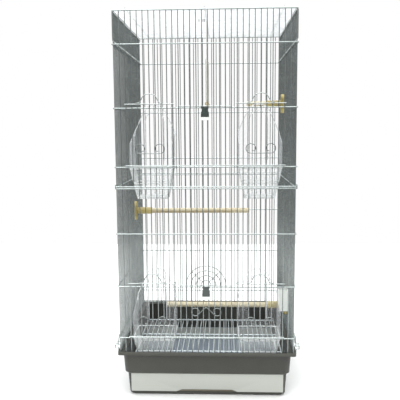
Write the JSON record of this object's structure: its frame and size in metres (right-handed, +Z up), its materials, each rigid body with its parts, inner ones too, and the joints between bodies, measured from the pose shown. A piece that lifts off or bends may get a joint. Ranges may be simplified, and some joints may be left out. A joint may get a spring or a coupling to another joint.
{
  "type": "parakeet cage",
  "caption": "Tall square wire cage for small birds, two stacked wire sections and a ceiling on a deep plastic base with a pull-out tray, doors, feed cups, perches and a swing.",
  "frame": {"origin": "on the floor, under the middle of the base's foot", "axes": "+X to the cage's right as the picture shows it, +Y from front to back, +Z up"},
  "size_m": [0.5032, 0.485, 1.0419],
  "materials": {
    "base_plastic": "satin dark taupe moulding",
    "tray_plastic": "satin warm light grey moulding",
    "grate_wire": "plated wire",
    "cage_wire": "bright plated wire",
    "roof_wire": "bright plated wire",
    "door_wire": "bright plated wire",
    "clamp_wire": "sprung plated wire",
    "latch_black": "black moulding",
    "latch_tab_white": "white moulding",
    "cup_clear": "clear moulding",
    "guard_clear": "clear moulding",
    "perch_wood": "bare turned wood",
    "holder_mustard": "mustard moulding",
    "swing_cream": "cream moulding on a wire core",
    "treat_white": "white moulding"
  },
  "bodies": {
    "cage": {"base_case": "base_plastic", "floor_grate": "grate_wire", "lower_left_panel": "cage_wire", "lower_right_panel": "cage_wire", "lower_back_panel": "cage_wire", "lower_front_sill": "cage_wire", "lower_front_posts": "cage_wire", "lower_front_head": "cage_wire", "upper_left_panel": "cage_wire", "upper_right_panel": "cage_wire", "upper_back_panel": "cage_wire", "upper_front_sill": "cage_wire", "upper_front_posts": "cage_wire", "upper_front_head": "cage_wire", "ceiling_panel": "roof_wire", "ceiling_skirts": "roof_wire", "ceiling_bends": "roof_wire", "skirt_hooks": "roof_wire", "ceiling_hooks": "roof_wire", "seam_clips": "cage_wire", "upper_perch": "perch_wood", "upper_perch_holder": "holder_mustard", "lower_perch": "perch_wood", "lower_perch_holder": "holder_mustard", "short_perch": "perch_wood", "short_perch_holder": "holder_mustard", "perch_nuts": "holder_mustard", "treat_box": "treat_white"},
    "drawer": {"drawer_tray": "tray_plastic"},
    "lower_door": {"lower_access_door": "door_wire", "lower_access_door_hinges": "door_wire", "lower_access_door_scroll": "door_wire"},
    "upper_door": {"upper_access_door": "door_wire", "upper_access_door_hinges": "door_wire"},
    "lower_door_latch": {"lower_latch": "latch_black", "lower_latch_tab": "latch_tab_white"},
    "upper_door_latch": {"upper_latch": "latch_black", "upper_latch_tab": "latch_tab_white"},
    "lower_left_feeder_gate": {"lower_left_feeder_door": "door_wire", "lower_left_feeder_scroll": "door_wire"},
    "lower_right_feeder_gate": {"lower_right_feeder_door": "door_wire", "lower_right_feeder_scroll": "door_wire"},
    "upper_left_feeder_gate": {"upper_left_feeder_door": "door_wire", "upper_left_feeder_scroll": "door_wire"},
    "upper_right_feeder_gate": {"upper_right_feeder_door": "door_wire", "upper_right_feeder_scroll": "door_wire"},
    "lower_left_cup_unit": {"lower_left_cup": "cup_clear", "lower_left_seed_guard": "guard_clear"},
    "lower_right_cup_unit": {"lower_right_cup": "cup_clear", "lower_right_seed_guard": "guard_clear"},
    "upper_left_cup_unit": {"upper_left_cup": "cup_clear", "upper_left_seed_guard": "guard_clear"},
    "upper_right_cup_unit": {"upper_right_cup": "cup_clear", "upper_right_seed_guard": "guard_clear"},
    "swing": {"swing_frame": "swing_cream", "swing_perch": "perch_wood"},
    "front_left_clamp_body": {"front_left_clamp": "clamp_wire"},
    "front_right_clamp_body": {"front_right_clamp": "clamp_wire"},
    "back_left_clamp_body": {"back_left_clamp": "clamp_wire"},
    "back_right_clamp_body": {"back_right_clamp": "clamp_wire"}
  },
  "joints": [
    {"name": "drawer_slide", "type": "slide", "parent": "cage", "child": "drawer", "axis": [0, -1, 0], "range_m": [0, 0.38]},
    {"name": "lower_door_hinge", "type": "hinge", "parent": "cage", "child": "lower_door", "pos_m": [0, -0.23522, 0.17], "axis": [1, 0, 0], "range_deg": [0, 120]},
    {"name": "upper_door_hinge", "type": "hinge", "parent": "cage", "child": "upper_door", "pos_m": [0, -0.23522, 0.629], "axis": [1, 0, 0], "range_deg": [0, 128]},
    {"name": "lower_latch_slide", "type": "slide", "parent": "lower_door", "child": "lower_door_latch", "axis": [0, 0, 1], "range_m": [0, 0.006]},
    {"name": "upper_latch_slide", "type": "slide", "parent": "upper_door", "child": "upper_door_latch", "axis": [0, 0, 1], "range_m": [0, 0.006]},
    {"name": "lower_left_feeder_lift", "type": "slide", "parent": "cage", "child": "lower_left_feeder_gate", "axis": [0, 0, 1], "range_m": [0, 0.112]},
    {"name": "lower_right_feeder_lift", "type": "slide", "parent": "cage", "child": "lower_right_feeder_gate", "axis": [0, 0, 1], "range_m": [0, 0.112]},
    {"name": "upper_left_feeder_lift", "type": "slide", "parent": "cage", "child": "upper_left_feeder_gate", "axis": [0, 0, 1], "range_m": [0, 0.13]},
    {"name": "upper_right_feeder_lift", "type": "slide", "parent": "cage", "child": "upper_right_feeder_gate", "axis": [0, 0, 1], "range_m": [0, 0.13]},
    {"name": "lower_left_cup_lift", "type": "slide", "parent": "cage", "child": "lower_left_cup_unit", "axis": [0, 0, 1], "range_m": [0, 0.02]},
    {"name": "lower_right_cup_lift", "type": "slide", "parent": "cage", "child": "lower_right_cup_unit", "axis": [0, 0, 1], "range_m": [0, 0.02]},
    {"name": "upper_left_cup_lift", "type": "slide", "parent": "cage", "child": "upper_left_cup_unit", "axis": [0, 0, 1], "range_m": [0, 0.02]},
    {"name": "upper_right_cup_lift", "type": "slide", "parent": "cage", "child": "upper_right_cup_unit", "axis": [0, 0, 1], "range_m": [0, 0.02]},
    {"name": "swing_pivot", "type": "hinge", "parent": "cage", "child": "swing", "pos_m": [0, -0.015, 1.03104], "axis": [0, 1, 0], "range_deg": [-30, 30]},
    {"name": "front_left_clamp_hinge", "type": "hinge", "parent": "cage", "child": "front_left_clamp_body", "pos_m": [-0.23522, -0.2025, 0.17], "axis": [0, 1, 0], "range_deg": [0, 95]},
    {"name": "front_right_clamp_hinge", "type": "hinge", "parent": "cage", "child": "front_right_clamp_body", "pos_m": [0.23522, -0.2025, 0.17], "axis": [0, -1, 0], "range_deg": [0, 95]},
    {"name": "back_left_clamp_hinge", "type": "hinge", "parent": "cage", "child": "back_left_clamp_body", "pos_m": [-0.23522, 0.2025, 0.17], "axis": [0, 1, 0], "range_deg": [0, 95]},
    {"name": "back_right_clamp_hinge", "type": "hinge", "parent": "cage", "child": "back_right_clamp_body", "pos_m": [0.23522, 0.2025, 0.17], "axis": [0, -1, 0], "range_deg": [0, 95]}
  ]
}
